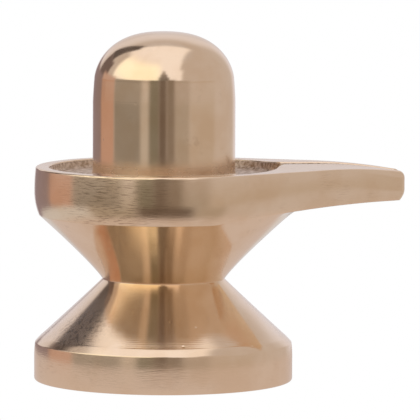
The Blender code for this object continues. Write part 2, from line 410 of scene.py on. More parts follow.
    def colour(self, tree: Tree, place: Socket, zones: Zones, strokes: Socket) -> Socket:
        """Mixes the base colour: bright brass, tarnish clouds, brown cast skin, dirt and stains.

        Args:
            tree: The material's tree.
            place: Object coordinates.
            zones: How far each zone applies.
            strokes: Height of the file's strokes.

        Returns:
            The base colour.
        """
        tones = []
        for blotches, between, within in (
            (self.clouds, self.bright_hex, self.worn_hex),
            (self.skin_tones, self.cast_dark_hex, self.cast_hex),
        ):
            links = {FACTOR: blotches.share(tree, place), UNDER: linear(between), OVER: linear(within)}
            tones.append(add_node(tree, "ShaderNodeMix", named=links, data_type="RGBA").outputs[MIXED])
        total, skin = tones
        limits = (*self.deep_strokes, 1.0, 0.0)
        deep = add_node(tree, "ShaderNodeMapRange", strokes, *limits, **SOFT_ENDS).outputs[0]
        masks = (deep, zones[Zone.FILED])
        dirt = self.marks(tree, place, masks, self.dirty_spot, self.dirty_patches)
        masks = (self.specks.share(tree, place), zones[Zone.TURNED])
        stains = self.marks(tree, place, masks, self.stained_spot, self.stained_patches)
        for share, layer in (
            (zones[Zone.CAST], skin),
            (dirt, linear(self.scratch_hex)),
            (stains, linear(self.stain_hex)),
        ):
            links = {FACTOR: share, UNDER: total, OVER: layer}
            total = add_node(tree, "ShaderNodeMix", named=links, data_type="RGBA").outputs[MIXED]
        return total

    def marks(
        self, tree: Tree, place: Socket, masks: Sequence[Socket], spot: Spot, patches: Blotches
    ) -> Socket:
        """Sets how dark small marks are: most at their worst spot, less in scattered patches.

        Args:
            tree: The material's tree.
            place: Object coordinates.
            masks: Where there are marks at all: their pattern and their zone.
            spot: The place where they are worst.
            patches: The patches in which they show elsewhere.

        Returns:
            How much of the marks' colour shows.
        """
        shares = (spot.share(tree, place), patches.share(tree, place))
        total = add_node(tree, "ShaderNodeMath", *shares, operation="ADD").outputs[0]
        for mask in masks:
            total = add_node(tree, "ShaderNodeMath", mask, total, operation="MULTIPLY").outputs[0]
        return total

    def roughness(self, tree: Tree, place: Socket, zones: Zones) -> Socket:
        """Adds up the roughness: least where turned, more where filed, dull where as cast.

        Args:
            tree: The material's tree.
            place: Object coordinates.
            zones: How far each zone applies.

        Returns:
            The roughness.
        """
        parts = [
            add_node(tree, "ShaderNodeMath", zones[zone], more, operation="MULTIPLY").outputs[0]
            for zone, more in (
                (Zone.FILED, self.filed_roughness - self.turned_roughness),
                (Zone.CAST, self.cast_roughness - self.turned_roughness),
                (Zone.TURNED, self.rough_foot.share(tree, place)),
            )
        ]
        total = self.turned_roughness
        for part in (*parts, self.handling.share(tree, place)):
            total = add_node(tree, "ShaderNodeMath", total, part, operation="ADD").outputs[0]
        return total

    def relief(self, tree: Tree, place: Socket, zones: Zones, strokes: Socket) -> Socket:
        """Adds the finest relief: lathe rings, a few dents, file strokes and the mould's grain.

        Args:
            tree: The material's tree.
            place: Object coordinates.
            zones: How far each zone applies.
            strokes: Height of the file's strokes.

        Returns:
            The normal.
        """
        along = add_node(tree, "ShaderNodeAttribute", attribute_name=ALONG).outputs["Fac"]
        turns = add_node(tree, "ShaderNodeMath", along, self.ring_pitch, operation="DIVIDE").outputs[0]
        links = {"W": turns, "Scale": 1.0, "Detail": self.ring_detail}
        rings = add_node(tree, "ShaderNodeTexNoise", named=links, noise_dimensions="1D").outputs["Fac"]
        links = {"Vector": place, "Scale": 1.0 / self.dent_spacing}
        spots = add_node(tree, "ShaderNodeTexVoronoi", named=links).outputs["Distance"]
        limits = (0.0, self.dent_reach, -1.0, 0.0)
        dents = add_node(tree, "ShaderNodeMapRange", spots, *limits, **SOFT_ENDS).outputs[0]
        links = {"Vector": place, "Scale": 1.0 / self.grain_size, "Detail": self.grain_detail}
        grain = add_node(tree, "ShaderNodeTexNoise", named=links | {"Roughness": OCTAVE_SHARE}).outputs["Fac"]
        normal = {}
        for height, zone, depth in (
            (rings, Zone.TURNED, self.ring_depth),
            (dents, Zone.TURNED, self.dent_depth),
            (strokes, Zone.FILED, self.stroke_depth),
            (grain, Zone.CAST, self.grain_depth),
        ):
            masked = add_node(tree, "ShaderNodeMath", height, zones[zone], operation="MULTIPLY").outputs[0]
            links = {"Strength": 1.0, "Distance": depth, "Height": masked} | normal
            normal = {"Normal": add_node(tree, "ShaderNodeBump", named=links).outputs["Normal"]}
        return normal["Normal"]


@dataclass
class TrayPlan:
    """The tray and its spout seen from above, with the basin and the channel cut into them."""

    radius: float = 25.0 * MM
    basin_radius: float = 22.2 * MM
    spout_length: float = 47.0 * MM
    corner_round: float = 1.6 * MM
    end_flat: float = 2.1 * MM
    end_top_round: float = 1.4 * MM
    mouth_half: float = 8.7 * MM
    funnel_length: float = 3.0 * MM
    funnel_power: float = 1.6
    channel_half: float = 2.4 * MM
    channel_end_half: float = 1.7 * MM
    back_steps: int = 236
    line_steps: tuple[int, int, int] = (16, 14, 30)
    corner_steps: int = 10

    corner_x: float = field(init=False)
    side_angle: float = field(init=False)
    mouth_angle: float = field(init=False)
    mouth_x: float = field(init=False)
    funnel_end_x: float = field(init=False)

    def __post_init__(self) -> None:
        """Works out the angle of the straight sides and where the channel's mouth is."""
        self.corner_x = self.spout_length - self.corner_round
        reach = hypot(self.corner_x, self.end_flat)
        lean = acos((self.radius - self.corner_round) / reach)
        self.side_angle = atan2(self.end_flat, self.corner_x) + lean
        self.mouth_angle = asin(self.mouth_half / self.basin_radius)
        self.mouth_x = self.basin_radius * cos(self.mouth_angle)
        self.funnel_end_x = self.mouth_x + self.funnel_length

    @property
    def side_steps(self) -> int:
        """Number of columns down one side of the spout, its corner included."""
        return self.corner_steps + sum(self.line_steps)

    @property
    def across_steps(self) -> int:
        """Number of rows of the channel's floor, from the spout's end to the mouth."""
        return self.corner_steps + self.line_steps[1] + self.line_steps[2] + 1

    def side_half(self, x: float) -> float:
        """Returns half the width of the tray and spout where their straight sides are."""
        return (self.radius - x * cos(self.side_angle)) / sin(self.side_angle)

    def channel_half_at(self, x: float) -> float:
        """Gives the channel its width: a funnel at the mouth, then a slow taper.

        Args:
            x: Place along the spout.

        Returns:
            Half the width there.
        """
        taper = (x - self.mouth_x) / (self.spout_length - self.mouth_x)
        straight = mix(self.channel_half, self.channel_end_half, taper)
        left = 1.0 - min((x - self.mouth_x) / self.funnel_length, 1.0)
        return straight + (self.mouth_half - self.channel_half) * left**self.funnel_power

    def outline(self) -> list[Place]:
        """Walks round the tray from the spout's left corner to its right one.

        Returns:
            For each point, x, y and the angle of the outward normal.
        """
        found = []
        for step in range(self.corner_steps):
            angle = self.side_angle * step / self.corner_steps
            x = self.corner_x + self.corner_round * cos(angle)
            found.append((x, self.end_flat + self.corner_round * sin(angle), angle))
        start_x = self.radius * cos(self.side_angle)
        end_x = self.corner_x + self.corner_round * cos(self.side_angle)
        marks = (end_x, self.funnel_end_x + 0.5 * self.funnel_length, self.mouth_x, start_x)
        for x in spread(marks, self.line_steps[::-1]):
            found.append((x, self.side_half(x), self.side_angle))
        half_back = self.back_steps // 2
        for step in range(1, half_back + 1):
            angle = mix(self.side_angle, pi, step / half_back)
            found.append((self.radius * cos(angle), self.radius * sin(angle), angle))
        return found + [(x, -y, -angle) for x, y, angle in reversed(found[:-1])]

    def inner_edge(self) -> list[Place]:
        """Walks along the edge of channel and basin, one point for each point of the outline.

        Returns:
            For each point, x, y and the angle of the normal that points into the metal.
        """
        top_end = self.spout_length - self.end_top_round
        marks = (top_end, top_end - self.corner_round, self.funnel_end_x, self.mouth_x)
        counts = (self.corner_steps, self.line_steps[2], self.line_steps[1])
        half = [(x, self.channel_half_at(x)) for x in spread(marks, counts)[:-1]]
        half_back = self.back_steps // 2
        turns = spread((self.mouth_angle, self.side_angle, pi), (self.line_steps[0], half_back))
        half += [(self.basin_radius * cos(angle), self.basin_radius * sin(angle)) for angle in turns]
        edge = half + [(x, -y) for x, y in reversed(half[:-1])]
        found = []
        for index, (x, y) in enumerate(edge):
            ahead = edge[min(index + 1, len(edge) - 1)]
            behind = edge[max(index - 1, 0)]
            found.append((x, y, atan2(-(ahead[0] - behind[0]), ahead[1] - behind[1])))
        return found

    def turned_angles(self, end_count: int) -> list[float]:
        """Spreads the turned parts' columns, even below the spout and as the tray's behind it.

        Args:
            end_count: Number of columns inside the spout's end, plus one.

        Returns:
            One angle for each column of the whole outline.
        """
        step = 2 * self.side_angle / (2 * self.side_steps + end_count)
        back = spread((self.side_angle, 2 * pi - self.side_angle), (self.back_steps,))
        left = [step * (index + 0.5 * end_count) for index in range(self.side_steps)]
        right = [2 * pi - angle for angle in reversed(left)]
        end = [2 * pi + step * (index - 0.5 * end_count) for index in range(1, end_count)]
        return left + back + right + end


@dataclass
class CastingHeights:
    """Heights of the tray, the spout and the basin above the underside."""

    plan: TrayPlan
    rim: float = 41.3 * MM
    rim_round: float = 0.4 * MM
    rim_lean: float = 0.22 * MM
    basin_depth: float = 1.6 * MM
    channel_drop: float = 0.8 * MM
    fall: float = 1.2 * MM
    fall_start: float = 31.0 * MM
    crown_rise: float = 0.6 * MM
    crown_power: float = 1.3
    low: float = 32.0 * MM
    low_inset: float = 0.9 * MM
    low_round: float = 4.4 * MM
    end_low_round: float = 2.2 * MM
    underside_rise: float = 2.5 * MM
    underside_start: float = 5.8 * MM
    underside_reach: float = 0.9
    waist_radius: float = 11.8 * MM
    waist_height: float = 19.6 * MM
    flare_power: float = 1.12

    @property
    def basin_floor(self) -> float:
        """Height of the basin's floor."""
        return self.rim - self.basin_depth

    @property
    def flare_top_radius(self) -> float:
        """Radius at which the upper cone meets the tray's side."""
        return self.plan.radius - self.low_inset

    def top(self, x: float, y: float) -> float:
        """Shapes the rim and the spout's crowned, falling top.

        Args:
            x: Place along the spout.
            y: Place across it.

        Returns:
            The height there.
        """
        plan = self.plan
        share = max((x - self.fall_start) / (plan.spout_length - self.fall_start), 0.0)
        rise = ease(plan.mouth_x - 2 * plan.funnel_length, plan.funnel_end_x, x)
        fade = 1.0 - ease(self.fall_start, plan.spout_length, x)
        inside = max(1.0 - abs(y) / max(plan.side_half(x), plan.channel_half), 0.0)
        crown = self.crown_rise * rise * fade * inside**self.crown_power
        return self.rim - self.fall * share**2 + crown

    def floor(self, x: float) -> float:
        """Shapes the basin's floor and the channel's, which runs down to the spout's end.

        Args:
            x: Place along the spout.

        Returns:
            The height there.
        """
        plan = self.plan
        share = max((x - plan.mouth_x) / (plan.spout_length - plan.mouth_x), 0.0)
        return self.basin_floor - self.channel_drop * share

    def lower_edge(self, x: float) -> float:
        """Shapes the lower edge of the tray's side, which rises under the spout.

        Args:
            x: Place along the spout.

        Returns:
            The height there.
        """
        reach = self.underside_reach * (self.plan.spout_length - self.underside_start)
        share = min(max((x - self.underside_start) / reach, 0.0), 1.0)
        return self.low + self.underside_rise * sin(0.5 * pi * share)

    def flare_radius(self, height: float) -> float:
        """Returns the radius of the cone that opens from the waist to the tray."""
        share = (height - self.waist_height) / (self.low - self.waist_height)
        return mix(self.waist_radius, self.flare_top_radius, share**self.flare_power)

    def flare_height(self, radius: float) -> float:
        """Returns the height of that cone at a radius, carried on past the tray's edge."""
        share = (radius - self.waist_radius) / (self.flare_top_radius - self.waist_radius)
        return mix(self.waist_height, self.low, max(share, 0.0) ** (1.0 / self.flare_power))

    def end_share(self, x: float) -> float:
        """Returns how much of the spout's end rounding applies: none on the tray."""
        return ease(self.fall_start, self.plan.spout_length, x)

    def top_round(self, x: float) -> float:
        """Returns the radius of the edge between the top and the side."""
        return mix(self.rim_round, self.plan.end_top_round, self.end_share(x) ** 2)

    def lean(self, x: float) -> float:
        """Returns how far the side leans in at its top, which fades out at the spout's end."""
        return self.rim_lean * (1.0 - self.end_share(x))

    def side_round(self, x: float) -> float:
        """Returns the height over which the side curves in to its lower edge."""
        return mix(self.low_round, self.end_low_round, self.end_share(x))


@dataclass
class TurnedProfiles:
    """The profiles that the lathe tool followed on the base and on the lingam."""

    heights: CastingHeights
    base_radius: float = 25.0 * MM
    base_edge_round: float = 0.5 * MM
    band_start: float = 1.2 * MM
    band_top: float = 4.5 * MM
    crease_radius: float = 24.84 * MM
    crease_height: float = 7.3 * MM
    crease_round: float = 0.14 * MM
    shoulder_radius: float = 23.87 * MM
    shoulder_height: float = 8.3 * MM
    shoulder_round: float = 0.35 * MM
    cone_hollow: float = 1.02
    cone_flare: float = 0.02 * MM
    cone_flare_share: float = 0.17
    waist_round: float = 0.06 * MM
    flare_start: float = 0.5 * MM
    flare_end_share: float = 0.6
    lingam_radius: float = 13.76 * MM
    lingam_foot: float = 1.0 * MM
    taper_length: float = 4.5 * MM
    taper_power: float = 1.2
    dome_start: float = 58.5 * MM
    dome_radius: float = 13.5 * MM
    dome_height: float = 8.9 * MM
    dome_crease: float = 0.13
    dome_fullness: float = 2.45
    dome_first_share: float = 0.004

    # How far out and how far below the dome each point of the hairline groove lies
    groove: tuple[Pair, ...] = ((0.005 * MM, 0.32 * MM), (0.0, 0.18 * MM), (-0.012 * MM, 0.05 * MM))

    # First and last ring of the flat underside, and the last of the band's curve, as shares
    underside_span: Pair = (0.05, 0.95)
    barrel_span: Pair = (0.0, 0.9)

    round_steps: int = 8
    band_steps: int = 5
    barrel_steps: int = 9
    cone_steps: int = 28
    basin_steps: int = 14
    shaft_steps: int = 16
    taper_steps: int = 6
    dome_steps: int = 34

    def base(self) -> list[Pair]:
        """Draws the base's profile.

        Returns:
            Radius and height of each ring, from the underside's edge up to below the tray.
        """
        heights = self.heights
        radius = self.base_radius
        edge = (radius, 0.0)
        band_top = (radius, self.band_top)
        crease = (self.crease_radius, self.crease_height)
        shoulder = (self.shoulder_radius + self.cone_flare, self.shoulder_height)
        waist = (heights.waist_radius, heights.waist_height)
        flare_low = heights.waist_height + self.flare_start
        flare = (heights.flare_radius(flare_low), flare_low)
        steps = self.round_steps
        points = [(radius * share, 0.0) for share in spread(self.underside_span, (steps,))]
        points += rounded((0.0, 0.0), edge, band_top, self.base_edge_round, steps)
        band = spread((self.band_start, self.band_top), (self.band_steps,))
        points += [(radius, height) for height in band[:-1]]
        barrel = [
            (mix(radius, crease[0], share**2), mix(self.band_top, crease[1], share))
            for share in spread(self.barrel_span, (self.barrel_steps,))
        ]
        points += barrel + rounded(barrel[-1], crease, shoulder, self.crease_round, steps)
        points += rounded(crease, shoulder, waist, self.shoulder_round, steps)
        points += self.cone(shoulder, waist)
        points += rounded(shoulder, waist, flare, self.waist_round, steps)
        top = mix(heights.waist_height, heights.low, self.flare_end_share)
        for height in spread((flare_low, top), (self.cone_steps // 2,)):
            points.append((heights.flare_radius(height), height))
        return points

    def cone(self, shoulder: Pair, waist: Pair) -> list[Pair]:
        """Draws the slightly hollow cone between the shoulder and the waist.

        Args:
            shoulder: Radius and height of the shoulder.
            waist: Radius and height of the waist.

        Returns:
            Radius and height of each ring, clear of the roundings at both ends.
        """
        length = hypot(shoulder[0] - waist[0], waist[1] - shoulder[1])
        first = CLEAR_OF_ROUND * self.shoulder_round / length
        last = 1.0 - CLEAR_OF_ROUND * self.waist_round / length
        points = []
        for share in spread((first, last), (self.cone_steps,)):
            radius = mix(waist[0], self.shoulder_radius, (1.0 - share) ** self.cone_hollow)
            radius += self.cone_flare * max(1.0 - share / self.cone_flare_share, 0.0) ** 2
            points.append((radius, mix(shoulder[1], waist[1], share)))
        return points

    def lingam(self) -> list[Pair]:
        """Draws the lingam's profile.

        Returns:
            Radius and height of each ring, from the basin's floor up to just below the apex.
        """
        floor = self.heights.basin_floor
        radius, foot = self.lingam_radius, self.lingam_foot
        taper_start = self.dome_start - self.taper_length
        floor_span = (self.heights.plan.basin_radius - 3 * foot, radius + 2 * foot)
        points = [(reach, floor) for reach in spread(floor_span, (self.basin_steps,))]
        outwards = (radius + 4 * foot, floor)
        upwards = (radius, taper_start)
        points += rounded(outwards, (radius, floor), upwards, foot, self.round_steps)
        shaft = spread((floor + CLEAR_OF_ROUND * foot, taper_start), (self.shaft_steps,))
        points += [(radius, height) for height in shaft]
        for share in spread((0.0, 1.0), (self.taper_steps,))[1:-1]:
            tapered = mix(radius, self.dome_radius, share**self.taper_power)
            points.append((tapered, taper_start + self.taper_length * share))
        points += [(self.dome_radius + out, self.dome_start - below) for out, below in self.groove]
        full = self.dome_radius / self.dome_shape(0.0)
        turns = range(1, self.dome_steps)
        shares = [self.dome_first_share] + [sin(0.5 * pi * step / self.dome_steps) for step in turns]
        for share in shares:
            points.append((full * self.dome_shape(share), self.dome_start + self.dome_height * share))
        return points

    def dome_shape(self, share: float) -> float:
        """Returns the dome's radius at a share of its height, which leaves the crease at a slant."""
        reach = mix(self.dome_crease, 1.0, share)
        return (1.0 - reach**2) ** (1.0 / self.dome_fullness)


@dataclass
class LingamCasting:
    """The one casting: base, waist, tray with spout and channel, and the upright lingam."""

    plan: TrayPlan = field(default_factory=TrayPlan)
    lip_round: float = 0.30 * MM
    wall_draft: float = 0.2 * MM
    foot_round: float = 0.8 * MM
    underside_round: float = 1.2 * MM
    underside_power: float = 1.5

    # The mould's skin is whole on the floor and by the channel, and worn a little on the wall behind
    wall_skin: float = 0.8
    wall_skin_end: float = 16 * MM
    foot_skin_start: float = 0.6
    floor_skin_rise: float = 0.2 * MM

    land_steps: int = 9
    lip_steps: int = 4
    wall_steps: int = 2
    foot_steps: int = 4
    floor_steps: int = 24
    upright_steps: int = 8
    side_steps: int = 14
    underside_steps: int = 16

    heights: CastingHeights = field(init=False)
    profiles: TurnedProfiles = field(init=False)
    bm: bmesh.types.BMesh = field(init=False)

    def __post_init__(self) -> None:
        """Sets up the heights, the profiles and an empty mesh with a layer for each zone."""
        self.heights = CastingHeights(self.plan)
        self.profiles = TurnedProfiles(self.heights)
        self.bm = bmesh.new()
        for zone in Zone:
            self.bm.verts.layers.float.new(zone.value)
        self.bm.verts.layers.float.new(ALONG)

    def point(self, x: float, y: float, z: float, zone: Zone, along: float = 0.0) -> bmesh.types.BMVert:
        """Adds one point.

        Args:
            x: Place along the spout.
            y: Place across it.
            z: Height.
            zone: How the surface was finished there.
            along: Distance along the turned profile, which the lathe rings follow.

        Returns:
            The new point.
        """
        vert = self.bm.verts.new((x, y, z))
        vert[self.bm.verts.layers.float[zone.value]] = 1.0
        vert[self.bm.verts.layers.float[ALONG]] = along
        return vert

    def leave_cast(self, vert: bmesh.types.BMVert, share: float) -> None:
        """Marks how much of the mould's skin the file left at a point.

        Args:
            vert: The point.
            share: One where the skin is whole, and zero where it is filed away.
        """
        layers = self.bm.verts.layers.float
        vert[layers[Zone.CAST.value]] = share
        vert[layers[Zone.FILED.value]] = 1.0 - share

    def skin(self, rows: Sequence[Row], closed: bool) -> None:
        """Joins each row to the next by faces.

        Args:
            rows: Rows of as many points each.
            closed: Whether each row runs all the way round.
        """
        for first, second in zip(rows, rows[1:]):
            count = len(first)
            for index in range(count if closed else count - 1):
                after = (index + 1) % count
                self.bm.faces.new((first[index], first[after], second[after], second[index]))

    def land(self) -> list[Row]:
        """Makes the rim and the spout's top, their lip, the wall below it and the wall's foot.

        Returns:
            The rows, from the top's outer edge in to the floor.
        """
        pairs = zip(self.plan.outline(), self.plan.inner_edge())
        columns = [self.land_column(outside, inside) for outside, inside in pairs]
        rows = [list(row) for row in zip(*columns)]
        self.skin(rows, closed=False)
        return rows

    def land_column(self, outside: Place, inside: Place) -> Row:
        """Makes one column of the land.

        Args:
            outside: The outline's point, and the angle of its normal.
            inside: The inner edge's point, and the angle of its normal into the metal.

        Returns:
            The column's points, from the outside in.
        """
        heights = self.heights
        x, y, angle = outside
        edge_x, edge_y, into = inside
        inset = heights.top_round(x) + heights.lean(x)
        outer = (x - inset * cos(angle), y - inset * sin(angle))
        away = (cos(into), sin(into))
        lip = (edge_x + self.lip_round * away[0], edge_y + self.lip_round * away[1])
        column = []
        for share in spread((0.0, 1.0), (self.land_steps,)):
            place = (mix(outer[0], lip[0], share), mix(outer[1], lip[1], share))
            column.append(self.point(*place, heights.top(*place), Zone.FILED))
        top = heights.top(*lip)
        floor = heights.floor(edge_x)
        wall_top = top - self.lip_round
        wall_low = floor + self.foot_round
        below = []
        for step in range(1, self.lip_steps + 1):
            turn = 0.5 * pi * step / self.lip_steps
            zone = Zone.FILED if step < self.lip_steps else Zone.CAST
            reach = self.lip_round * (1.0 - sin(turn))
            below.append((reach, top - self.lip_round * (1.0 - cos(turn)), zone))
        for share in spread((0.0, 1.0), (self.wall_steps,))[1:]:
            below.append((-self.wall_draft * share, mix(wall_top, wall_low, share), Zone.CAST))
        for step in range(1, self.foot_steps + 1):
            turn = 0.5 * pi * step / self.foot_steps
            reach = -self.wall_draft - self.foot_round * (1.0 - cos(turn))
            below.append((reach, floor + self.foot_round * (1.0 - sin(turn)), Zone.CAST))
        for reach, height, zone in below:
            place = (edge_x + reach * away[0], edge_y + reach * away[1])
            column.append(self.point(*place, height, zone))
        wall = mix(self.wall_skin, 1.0, ease(0.0, self.wall_skin_end, edge_x))
        for vert in column[-self.wall_steps - self.foot_steps :]:
            low = ease(self.foot_skin_start, 0.0, (vert.co.z - floor) / self.foot_round)
            self.leave_cast(vert, max(wall, low))
        return column

    def channel_floor(self, foot: Row) -> list[Row]:
        """Makes the channel's floor between its two feet.

        Args:
            foot: The land's last row, which runs down one side of the channel and back up the other.

        Returns:
            The rows across the floor, from the spout's end to the mouth.
        """
        rows = []
        for index in range(self.plan.across_steps):
            left, right = foot[index], foot[-1 - index]
            row = [right]
            for step in range(1, self.floor_steps):
                place = right.co.lerp(left.co, step / self.floor_steps)
                row.append(self.point(*place, Zone.CAST))
            rows.append(row + [left])
        self.skin(rows, closed=False)
        return rows

    def side(self, outline: Sequence[Place], top_ring: Row) -> Row:
        """Makes the tray's and the spout's side down to the lower edge.

        Args:
            outline: The whole outline, with the spout's end.
            top_ring: The points that close the top, one for each point of the outline.

        Returns:
            The ring of the lower edge.
        """
        columns = []
        for (x, y, angle), top in zip(outline, top_ring):
            column = [top]
            round_size = self.heights.top_round(x)
            low_size = self.heights.side_round(x)
            low = self.heights.lower_edge(x)
            places = []
            for step in range(1, self.lip_steps + 2):
                turn = 0.5 * pi * step / (self.lip_steps + 1)
                places.append((round_size * (1.0 - sin(turn)), top.co.z - round_size * (1.0 - cos(turn))))
            upright = (top.co.z - round_size, low + low_size)
            places += [(0.0, height) for height in spread(upright, (self.upright_steps,))[1:-1]]
            for share in spread((0.0, 1.0), (self.side_steps,)):
                places.append((self.heights.low_inset * share**2, low + low_size * (1.0 - share)))
            for inset, height in places:
                up = max(height - upright[1], 0.0) / (upright[0] - upright[1])
                inset += self.heights.lean(x) * min(up, 1.0) ** 2
                place = (x - inset * cos(angle), y - inset * sin(angle), height)
                column.append(self.point(*place, Zone.FILED))
            columns.append(column)
        rows = [list(row) for row in zip(*columns)]
        self.skin(rows, closed=True)
        return rows[-1]

    def underside(self, edge_ring: Row, angles: Sequence[float], start: Pair) -> Row:
        """Makes the underside of tray and spout, in to the cone.

        Args:
            edge_ring: The ring of the lower edge.
            angles: Angle of each column on the cone.
            start: Radius and height at which the cone's own profile takes over.

        Returns:
            The ring on the cone.
        """
        heights = self.heights
        rows = [edge_ring]
        for step in range(1, self.underside_steps + 1):
            share = (step / self.underside_steps) ** self.underside_power
            row = []
            for vert, angle in zip(edge_ring, angles):
                edge = vert.co
                x = mix(edge.x, start[0] * cos(angle), share)
                y = mix(edge.y, start[0] * sin(angle), share)
                beyond = hypot(edge.x, edge.y) - heights.flare_top_radius
                blend = self.underside_round * ease(0.0, 2 * self.underside_round, beyond)
                height = lower_of(heights.flare_height(hypot(x, y)), heights.lower_edge(x), blend)
                cone_edge = heights.flare_height(hypot(edge.x, edge.y))
                at_edge = lower_of(cone_edge, heights.lower_edge(edge.x), blend)
                height += (edge.z - at_edge) * (1.0 - share) ** 2
                row.append(self.point(x, y, height, Zone.TURNED, hypot(hypot(x, y), height)))
            rows.append(row)
        self.skin(rows, closed=True)
        return rows[-1]

    def turned(
        self,
        profile: Sequence[Pair],
        angles: Sequence[float],
        first: Row,
        apex: float,
        zone_at: Callable[[Pair], Zone],
    ) -> None:
        """Makes a turned stretch and closes it on the axis.

        Args:
            profile: Radius and height of each ring.
            angles: Angle of each column.
            first: The ring that it joins.
            apex: Height of the point on the axis.
            zone_at: Gives the finish at a point of the profile.
        """
        rows = [first]
        before = profile[0]
        along = hypot(*before)
        for radius, height in profile:
            along += hypot(radius - before[0], height - before[1])
            before = (radius, height)
            zone = zone_at(before)
            rows.append([self.point(radius * cos(a), radius * sin(a), height, zone, along) for a in angles])
        self.skin(rows, closed=True)
        tip = self.point(0.0, 0.0, apex, Zone.TURNED, along)
        last = rows[-1]
        for index, vert in enumerate(last):
            self.bm.faces.new((vert, last[(index + 1) % len(last)], tip))

    def base_zone(self, place: Pair) -> Zone:
        """Returns the finish on the base: its upright band is filed, the rest is turned."""
        on_band = self.profiles.base_edge_round < place[1] < self.profiles.crease_height
        return Zone.FILED if on_band else Zone.TURNED

    def basin_zone(self, place: Pair) -> Zone:
        """Returns the finish from the basin in: its floor is as cast, the lingam is turned."""
        on_floor = place[1] < self.heights.basin_floor + self.floor_skin_rise
        return Zone.CAST if on_floor else Zone.TURNED

    def mesh(self) -> bpy.types.Mesh:
        """Makes the whole casting.

        Returns:
            One closed mesh.
        """
        land = self.land()
        foot = land[-1]
        channel = self.channel_floor(foot)
        right_end = [row[-1] for row in land[1:]]
        left_end = [row[0] for row in reversed(land[1:])]
        end = right_end + channel[0][1:-1] + left_end
        outline = self.plan.outline() + [(self.plan.spout_length, vert.co.y, 0.0) for vert in end]
        edge_ring = self.side(outline, land[0] + end)
        angles = self.plan.turned_angles(len(end) + 1)
        base = self.profiles.base()
        cone_ring = self.underside(edge_ring, angles, base[-1])
        self.turned(base[-2::-1], angles, cone_ring, 0.0, self.base_zone)
        across = self.plan.across_steps
        basin_ring = foot[across - 1 : len(foot) - across + 1] + channel[-1][1:-1]
        basin_angles = [atan2(vert.co.y, vert.co.x) % (2 * pi) for vert in basin_ring]
        apex = self.profiles.dome_start + self.profiles.dome_height
        self.turned(self.profiles.lingam(), basin_angles, basin_ring, apex, self.basin_zone)
        bmesh.ops.recalc_face_normals(self.bm, faces=self.bm.faces)
        mesh = bpy.data.meshes.new(PIECE)
        self.bm.to_mesh(mesh)
        self.bm.free()
        mesh.shade_smooth()
        return mesh

    def build(self, finish: BrassFinish) -> bpy.types.Object:
        """Builds the casting, works its surface and dresses it.

        Args:
            finish: The brass that it is made of.

        Returns:
            The finished piece.
        """
        material = finish.material()
        raw = bpy.data.objects.new("raw_casting", self.mesh())
        bpy.context.scene.collection.objects.link(raw)
        piece = HandWork().apply(raw, material, PIECE)
        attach(piece, BODY)
        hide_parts(NODE)
        return piece


